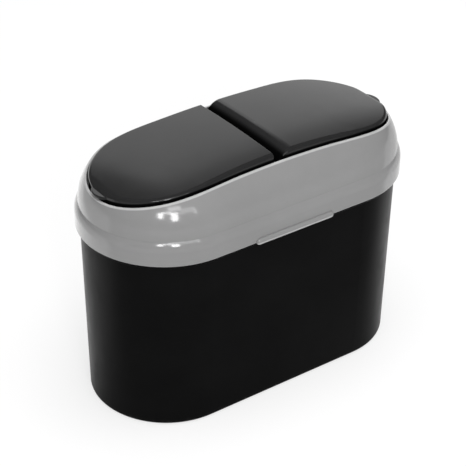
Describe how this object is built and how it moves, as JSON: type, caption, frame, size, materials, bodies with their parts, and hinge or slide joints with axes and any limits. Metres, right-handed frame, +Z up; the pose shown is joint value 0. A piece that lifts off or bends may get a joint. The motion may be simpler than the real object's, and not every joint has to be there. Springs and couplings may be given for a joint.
{
  "type": "car trash bin",
  "caption": "Small oval car bin: a black tapered bucket under a glossy grey domed collar, closed by hinged flaps that meet at a cross gap and lift from their outer ends.",
  "frame": {"origin": "centre of the bucket's flat underside, on the surface that the bin stands on", "axes": "+X along the length, towards the flap with the rolled inner edge; +Z up; the thumb lip faces -Y, the front"},
  "size_m": [0.1942, 0.0967, 0.1445],
  "materials": {
    "black_bucket": "moulded, faintly glossy black",
    "grey_collar": "glossy mid-grey",
    "black_flap": "satin black, fine grain",
    "steel_pin": "drawn wire"
  },
  "bodies": {
    "bucket": {"bucket": "black_bucket"},
    "lid": {"lid_collar": "grey_collar", "left_hinge_pin": "steel_pin", "right_hinge_pin": "steel_pin"},
    "left_flap": {"left_flap": "black_flap"},
    "right_flap": {"right_flap": "black_flap"}
  },
  "joints": [
    {"name": "lid_lift", "type": "slide", "parent": "bucket", "child": "lid", "axis": [0, 0, 1], "range_m": [0, 0.05]},
    {"name": "left_flap_hinge", "type": "hinge", "parent": "lid", "child": "left_flap", "pos_m": [-0.0135, 0, 0.13675], "axis": [0, 1, 0], "range_deg": [0, 90]},
    {"name": "right_flap_hinge", "type": "hinge", "parent": "lid", "child": "right_flap", "pos_m": [0.008, 0, 0.13548], "axis": [0, -1, 0], "range_deg": [0, 90]}
  ]
}
